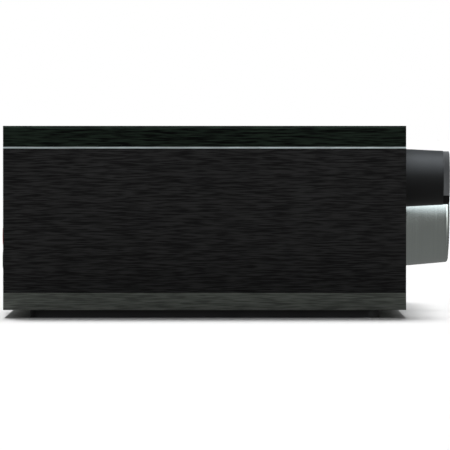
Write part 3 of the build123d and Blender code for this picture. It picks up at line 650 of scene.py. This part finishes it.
def around(at, radius, degrees):
    """A point round a knob, degrees clockwise from the top as the user sees it."""
    a = math.radians(degrees)
    return (at[0] + radius * math.sin(a), at[1] + radius * math.cos(a))


selector_low, selector_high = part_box("selector_knob")
SELECTOR_R = (selector_high.x - selector_low.x) / 2
bm = bmesh.new()
for degrees in range(75, 286, 30):
    dot(bm, around(SELECTOR, SELECTOR_R + SCALE_CLEAR, degrees), 0.6 * MM, FACE_Y, -PRINT_T)
build("selector_scale", bm, "trim_silver", "case", PRINT)

VOLUME_SWEEP, VOLUME_MARKS = 300, 21
bm = bmesh.new()
for step in range(VOLUME_MARKS):
    degrees = -VOLUME_SWEEP / 2 + VOLUME_SWEEP / (VOLUME_MARKS - 1) * step
    long_mark = step % 5 == 0
    length = (3.6 if long_mark else 2.0) * MM
    spot = around(VOLUME, BARREL_R + SCALE_CLEAR + length / 2, degrees)
    bar(bm, spot, length, (0.7 if long_mark else 0.45) * MM, FACE_Y, -PRINT_T, 90.0 - degrees)
build("volume_scale", bm, "trim_silver", "case", PRINT)

bm = bmesh.new()
for number in range(1, 7):
    key = middle(f"function_button_{number}")
    bar(bm, (key.x, key.z + 7.5 * MM), 5.0 * MM, 0.5 * MM, FACE_Y, -PRINT_T)
    for count in range(number):
        spot = (key.x + (count - (number - 1) / 2) * 1.5 * MM, key.z + 9.6 * MM)
        dot(bm, spot, 0.32 * MM, FACE_Y, -PRINT_T, 12)
build("key_marks", bm, "trim_silver", "case", PRINT)

jack_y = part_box("headphone_jack")[0].y
FERRULE_IN, FERRULE_OUT, FLANGE_OUT = 3.3 * MM, 3.9 * MM, 5.2 * MM
FERRULE_REACH, FERRULE_BEVEL = 3.0 * MM, 0.3 * MM
bm = bmesh.new()
lathe(
    bm,
    centre_xz("headphone_jack"),
    [
        (FERRULE_IN, FACE_Y + FERRULE_REACH),
        (FERRULE_IN, jack_y - 0.05 * MM),
        (FERRULE_IN + FERRULE_BEVEL, jack_y - 0.25 * MM),
        (FLANGE_OUT - FERRULE_BEVEL, jack_y - 0.25 * MM),
        (FLANGE_OUT, jack_y - 0.05 * MM),
        (FLANGE_OUT, jack_y + 0.1 * MM),
        (FERRULE_OUT, jack_y + 0.1 * MM),
        (FERRULE_OUT, FACE_Y + FERRULE_REACH),
        (FERRULE_IN, FACE_Y + FERRULE_REACH),
    ],
    48,
)
build("jack_ferrule", bm, "contact_nickel", "case")

# Display: seven-segment digits and two level rows on the panel behind the window.
PANEL_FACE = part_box("display_module")[0].y
SEGMENTS = {
    "0": "abcdef", "1": "bc", "2": "abged", "3": "abgcd", "4": "fgbc",
    "5": "afgcd", "6": "afgedc", "7": "abc", "8": "abcdefg", "9": "abcfgd", "-": "g",
}
DIGIT_W, DIGIT_H, STROKE = 7.0 * MM, 13.0 * MM, 1.2 * MM
DIGIT_RISE = 3.0 * MM  # the figures' middle over the panel's
LEAN = 0.08  # how far a figure leans to the right as it rises
PLACES = {
    "a": (0.0, 0.5, 0), "d": (0.0, -0.5, 0), "g": (0.0, 0.0, 0),
    "b": (0.5, 0.25, 90), "c": (0.5, -0.25, 90), "f": (-0.5, 0.25, 90), "e": (-0.5, -0.25, 90),
}


def digits(bm_on, bm_off, text, left, height):
    """Seven-segment figures: the lit segments in one mesh and the unlit ones in the other."""
    for count, figure in enumerate(text):
        x = left + count * DIGIT_W * 1.5
        for name, (u, v, turn) in PLACES.items():
            spot = (x + u * DIGIT_W + v * DIGIT_H * LEAN, height + v * DIGIT_H)
            length = (DIGIT_H / 2 if turn else DIGIT_W) - 0.35 * MM
            target = bm_on if name in SEGMENTS[figure] else bm_off
            lean = math.degrees(LEAN) if turn else 0
            bar(target, spot, length, STROKE, PANEL_FACE, -PRINT_T, turn - lean)


lit_bm, unlit_bm = bmesh.new(), bmesh.new()
screen = middle("display_module")
station_left = screen.x - 52.0 * MM
digits(lit_bm, unlit_bm, "1008", station_left, screen.z + DIGIT_RISE)
digits(lit_bm, unlit_bm, "-24", screen.x + 26.0 * MM, screen.z + DIGIT_RISE)
point = (station_left + DIGIT_W * 3.75, screen.z + DIGIT_RISE - DIGIT_H / 2)
dot(lit_bm, point, 0.8 * MM, PANEL_FACE, -PRINT_T)
LEVEL_STEPS, LEVEL_PITCH = 30, 3.8
for row in range(2):
    for step in range(LEVEL_STEPS):
        along = step - (LEVEL_STEPS - 1) / 2
        spot = (screen.x + along * LEVEL_PITCH * MM, screen.z - (9.0 + 3.4 * row) * MM)
        target = lit_bm if step < 19 - 3 * row else unlit_bm
        bar(target, spot, 2.6 * MM, 1.5 * MM, PANEL_FACE, -PRINT_T)
build("display_lit", lit_bm, "display_glass", "case", LIT)
build("display_unlit", unlit_bm, "display_glass", "case", UNLIT)

# ---------------------------------------------------------------- screws
BACK_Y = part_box("rear_panel")[1].y
HEAD_R, HEAD_H, SHANK_R = 3.0 * MM, 2.0 * MM, 1.5 * MM


def screws(name, stands_for, seats, out, shank):
    """Cross-recess screws with plain shanks that run back from their seats."""
    bm = bmesh.new()
    inward = -Vector(out)
    for seat in seats:
        screw_head(bm, seat, out, HEAD_R, HEAD_H)
        bmesh.ops.create_cone(
            bm,
            segments=24,
            radius1=SHANK_R,
            radius2=SHANK_R * 0.7,
            depth=shank,
            matrix=Matrix.Translation(seat + inward * shank / 2)
            @ inward.to_track_quat("Z", "Y").to_matrix().to_4x4(),
            cap_ends=True,
        )
    build(name, bm, "screw_steel", "case", stands_for=stands_for)


def islands(node):
    """The boxes of a node's separate solids, as (low, high), found from the corners of its mesh."""
    bm = bmesh.new()
    bm.from_mesh(frame["nodes"][node].data)
    bmesh.ops.remove_doubles(bm, verts=bm.verts, dist=1e-6)
    seen, found = set(), []
    for vert in bm.verts:
        if vert in seen:
            continue
        group, stack = [], [vert]
        seen.add(vert)
        while stack:
            here = stack.pop()
            group.append(here.co.copy())
            for edge in here.link_edges:
                other = edge.other_vert(here)
                if other not in seen:
                    seen.add(other)
                    stack.append(other)
        low = Vector(min(co[i] for co in group) for i in range(3))
        high = Vector(max(co[i] for co in group) for i in range(3))
        found.append((low, high))
    bm.free()
    return found


def spots(boxes, u, v):
    """The boxes' middles on two axes, to a tenth of a millimetre, in order and each one once."""
    return sorted({tuple(round((low[axis] + high[axis]) / 2, 4) for axis in (u, v)) for low, high in boxes})


cover_seats = [Vector((x, BACK_Y, z)) for x, z in spots(islands("cover_screws"), 0, 2)]
screws("cover_screw_set", ["cover_screws"], cover_seats, (0, 1, 0), 5.0 * MM)
rail_boxes = islands("foot_rail_screws")
head_base = min(low.z for low, _ in rail_boxes) + HEAD_H
rail_seats = [Vector((x, y, head_base)) for x, y in spots(rail_boxes, 0, 1)]
screws("rail_screw_set", ["foot_rail_screws"], rail_seats, (0, 0, -1), 6.0 * MM)

# ---------------------------------------------------------------- rear
sleeves = spots(islands("phono_sleeves"), 0, 2)
strip_low, strip_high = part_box("phono_strip")
STRIP_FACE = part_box("phono_sleeves")[0].y
RING_IN, RING_OUT, RING_T, RING_BEVEL = 4.3 * MM, 6.1 * MM, 0.9 * MM, 0.3 * MM
upper_row = max(z for _, z in sleeves)
for name, material, upper in (
    ("phono_rings_white", PRINT_WHITE, True),
    ("phono_rings_red", PRINT_RED, False),
):
    bm = bmesh.new()
    for x, z in sleeves:
        if (abs(z - upper_row) < MM) == upper:
            lathe(
                bm,
                (x, z),
                [
                    (RING_IN, STRIP_FACE),
                    (RING_IN, STRIP_FACE + 0.7 * MM),
                    (RING_IN + RING_BEVEL, STRIP_FACE + RING_T),
                    (RING_OUT - RING_BEVEL, STRIP_FACE + RING_T),
                    (RING_OUT, STRIP_FACE + 0.6 * MM),
                    (RING_OUT, STRIP_FACE),
                    (RING_IN, STRIP_FACE),
                ],
                40,
            )
    build(name, bm, "plate_black", "case", material)

antenna_low, antenna_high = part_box("antenna_socket")
antenna_at = centre_xz("antenna_socket")
THREAD_ROOT, THREAD_CREST, THREAD_PITCH = 4.35 * MM, 4.75 * MM, 0.8 * MM
NUT_T = 3.0 * MM
bm = bmesh.new()
thread = []
y = BACK_Y + 3.6 * MM
while y < antenna_high.y - 0.9 * MM:
    thread += [
        (THREAD_ROOT, y),
        (THREAD_CREST, y + 0.25 * MM),
        (THREAD_CREST, y + 0.35 * MM),
        (THREAD_ROOT, y + 0.6 * MM),
    ]
    y += THREAD_PITCH
nut = ((6.4 * MM, BACK_Y), (6.4 * MM, BACK_Y + 2.6 * MM), (6.0 * MM, BACK_Y + NUT_T))
lathe(bm, antenna_at, [(0, BACK_Y), *nut, (0, BACK_Y + NUT_T)], 6)
lathe(
    bm,
    antenna_at,
    [(0, antenna_low.y), (THREAD_ROOT, antenna_low.y), (THREAD_ROOT, BACK_Y + 3.4 * MM)]
    + thread
    + [
        (THREAD_ROOT, antenna_high.y - 0.5 * MM),
        (4.0 * MM, antenna_high.y),
        (2.7 * MM, antenna_high.y),
        (2.6 * MM, antenna_high.y - 0.2 * MM),
        (2.6 * MM, BACK_Y + 3.0 * MM),
        (1.0 * MM, BACK_Y + 3.0 * MM),
        (1.0 * MM, antenna_high.y - 2.4 * MM),
        (0.7 * MM, antenna_high.y - 2.0 * MM),
        (0, antenna_high.y - 2.0 * MM),
    ],
    48,
)
build("antenna_barrel", bm, "contact_nickel", "case", stands_for=["antenna_socket"])

plate_low, plate_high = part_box("speaker_plate")
POST_RING_IN, POST_RING_OUT, POST_RING_PROUD = 8.0 * MM, 8.8 * MM, 0.1 * MM
for name, material, numbers in (
    ("post_rings_red", PRINT_RED, (3, 4)),
    ("post_rings_grey", PRINT, (1, 2)),
):
    bm = bmesh.new()
    for number in numbers:
        lathe(
            bm,
            centre_xz(f"speaker_cap_{number}"),
            [
                (POST_RING_IN, plate_high.y - POST_RING_PROUD),
                (POST_RING_IN, plate_high.y + POST_RING_PROUD),
                (POST_RING_OUT, plate_high.y + POST_RING_PROUD),
                (POST_RING_OUT, plate_high.y - POST_RING_PROUD),
                (POST_RING_IN, plate_high.y - POST_RING_PROUD),
            ],
            56,
        )
    build(name, bm, "plate_black", "case", material)

# Printed outlines, by how many mm they clear each group's sides, foot and top.
bm = bmesh.new()
for low, high, beside, under, over in (
    (strip_low, strip_high, 5, 5, 9),
    (plate_low, plate_high, 5, 5, 9),
    (antenna_low, antenna_high, 12, 9, 13),
):
    foot = (low.x - beside * MM, low.z - under * MM)
    head = (high.x + beside * MM, high.z + over * MM)
    frame_line(bm, foot, head, 3.0 * MM, 0.5 * MM, BACK_Y, PRINT_T)
build("rear_print", bm, "trim_silver", "case", PRINT)

# ---------------------------------------------------------------- floor, light and camera
case_low, case_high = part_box("top_cover")
case_depth = case_high.y - case_low.y

FLOOR_REACH = 60.0
FLOOR_DROP = 0.05 * MM  # under the soles, so that the two faces don't flicker against each other


def make_floor():
    """A large pale sweep of floor, laid as a grid, just under the soles."""
    mesh = bpy.data.meshes.new("floor")
    bm = bmesh.new()
    bmesh.ops.create_grid(bm, x_segments=40, y_segments=40, size=FLOOR_REACH)
    bm.to_mesh(mesh)
    bm.free()
    floor = bpy.data.objects.new("floor", mesh)
    floor.location.z = -FLOOR_DROP
    scene.collection.objects.link(floor)
    g = Graph("floor_white", {"Specular IOR Level": 0.0, "Roughness": 0.9})
    speck = g.noise(g.vector(*g.place()), 3.0, 4.0)
    g.colour(g.blend(speck, grey(0.88), grey(0.92)))
    mesh.materials.append(g.material)
    floor.visible_glossy = False


make_floor()

AMBIENT = 0.2
# How bright the room is to glossy faces, by the height z of the direction they reflect.
GLOSS_BY_HEIGHT = (
    (-1.0, 0.26), (-0.6, 0.24), (-0.25, 0.2), (0.0, 0.19), (0.1, 0.28), (0.22, 0.52),
    (0.36, 1.1), (0.48, 1.9), (0.67, 3.4), (0.9, 5.8), (1.0, 7.0),
)
# How much is added, as a multiple of that and by height too, at the front on the camera's side.
GLOSS_FRONT = ((-0.55, 1.5), (-0.05, 10.0), (0.1, 10.0), (0.4, 2.0))
GLOSS_BEHIND = 0.18  # what is left of it beyond the receiver, as the camera sees it


def make_world():
    """A white room: even soft light, and for gloss a bright ceiling and a glow in front."""
    world = bpy.data.worlds.new("studio")
    scene.world = world
    world.use_nodes = True
    net = Net(world.node_tree)
    ambient = net.tree.nodes["Background"]
    net.put(ambient.inputs["Color"], (1.0, 1.0, 1.0, 1.0))
    net.put(ambient.inputs["Strength"], AMBIENT)
    heading = net.node("SeparateXYZ")
    net.put(heading.inputs[0], net.node("TexCoord").outputs["Generated"])
    x, y, z = heading.outputs

    def by_height(steps):
        value = steps[0][1]
        for (low, below), (high, above) in zip(steps, steps[1:]):
            value = net.calc("ADD", value, net.remap(z, (low, high), (0.0, above - below)))
        return value

    strength = net.calc("ADD", by_height(GLOSS_BY_HEIGHT), net.remap(y, (-0.88, -0.98), (0.0, 0.4)))
    near_front = net.remap(x, (-0.8, -0.4), (1.0, 0.0))
    towards_front = net.calc("MULTIPLY", net.remap(y, (-0.31, -0.48), (0.0, 1.0)), near_front)
    front = net.calc("ADD", 1.0, net.calc("MULTIPLY", towards_front, by_height(GLOSS_FRONT)))
    above_floor = net.calc("GREATER_THAN", z, -0.05)
    behind = net.remap(net.calc("MULTIPLY", x, above_floor), (0.0, 0.45), (1.0, GLOSS_BEHIND))
    panel = net.node("Background")
    net.put(panel.inputs["Strength"], net.calc("MULTIPLY", net.calc("MULTIPLY", strength, front), behind))
    seen = net.node("Background")
    net.put(seen.inputs["Color"], (1.0, 1.0, 1.0, 1.0))
    cool = net.blend(net.remap(z, (0.0, 0.4), (0.0, 1.0)), grey(1.0), grey(1.0, (0.9, 0.96, 1.02)))
    net.put(panel.inputs["Color"], cool)
    path = net.node("LightPath")
    shown = ambient.outputs[0]
    for ray, background in (("Is Glossy Ray", panel), ("Is Camera Ray", seen)):
        choice = net.node("MixShader")
        net.put(choice.inputs[0], path.outputs[ray])
        net.put(choice.inputs[1], shown)
        net.put(choice.inputs[2], background.outputs[0])
        shown = choice.outputs[0]
    net.put(net.tree.nodes["World Output"].inputs["Surface"], shown)


def sun(name, tilt):
    """A soft sun that stands tilt degrees from overhead towards +X and a little towards +Y."""
    light = bpy.data.lights.new(name, "SUN")
    light.energy = SUN_STRENGTH
    light.angle = math.radians(SUN_SPREAD)
    lamp = bpy.data.objects.new(name, light)
    travel = Vector((-math.tan(math.radians(tilt)), -math.tan(math.radians(SUN_LEAD)), -1.0))
    lamp.rotation_euler = travel.to_track_quat("-Z", "Y").to_euler()
    lamp.visible_glossy = False
    lamp.light_linking.blocker_collection = clear_of_light
    scene.collection.objects.link(lamp)


# The photo shows almost no shadow of the two front knobs, so they don't block the suns.
clear_of_light = bpy.data.collections.new("clear_of_light")
for knob in selector_pieces + volume_pieces:
    clear_of_light.objects.link(knob)
for member in clear_of_light.collection_objects:
    member.light_linking.link_state = "EXCLUDE"

make_world()
# A strip of soft light from overhead to beyond the receiver: the shadow falls towards the camera.
SUN_TILTS = (18.0, 27.0, 36.0)
SUN_LEAD, SUN_STRENGTH, SUN_SPREAD = 4.0, 1.12, 18.0
for number, tilt in enumerate(SUN_TILTS, 1):
    sun(f"strip_{number}", tilt)

CAMERA_DISTANCE = 4.5  # from the left side
FRAME_SHARE = 1.116  # the picture's width, in depths of the case
ALONG_CASE = 0.4494  # where the camera stands along the case, from its front
AIM_HEIGHT = 0.484  # where it aims, as a share of the height
SENSOR = 36.0

camera_data = bpy.data.cameras.new("camera")
camera_data.sensor_width = SENSOR
camera_data.lens = SENSOR * CAMERA_DISTANCE / (FRAME_SHARE * case_depth)
camera_data.clip_end = 4 * FLOOR_REACH
camera = bpy.data.objects.new("camera", camera_data)
station = case_low.y + ALONG_CASE * case_depth
camera.location = (case_low.x - CAMERA_DISTANCE, station, case_high.z - MM)
aim = Vector((case_low.x, station, AIM_HEIGHT * case_high.z))
camera.rotation_euler = (aim - camera.location).to_track_quat("-Z", "Y").to_euler()
scene.collection.objects.link(camera)
scene.camera = camera

scene.view_settings.view_transform = "Standard"
scene.view_settings.look = "None"
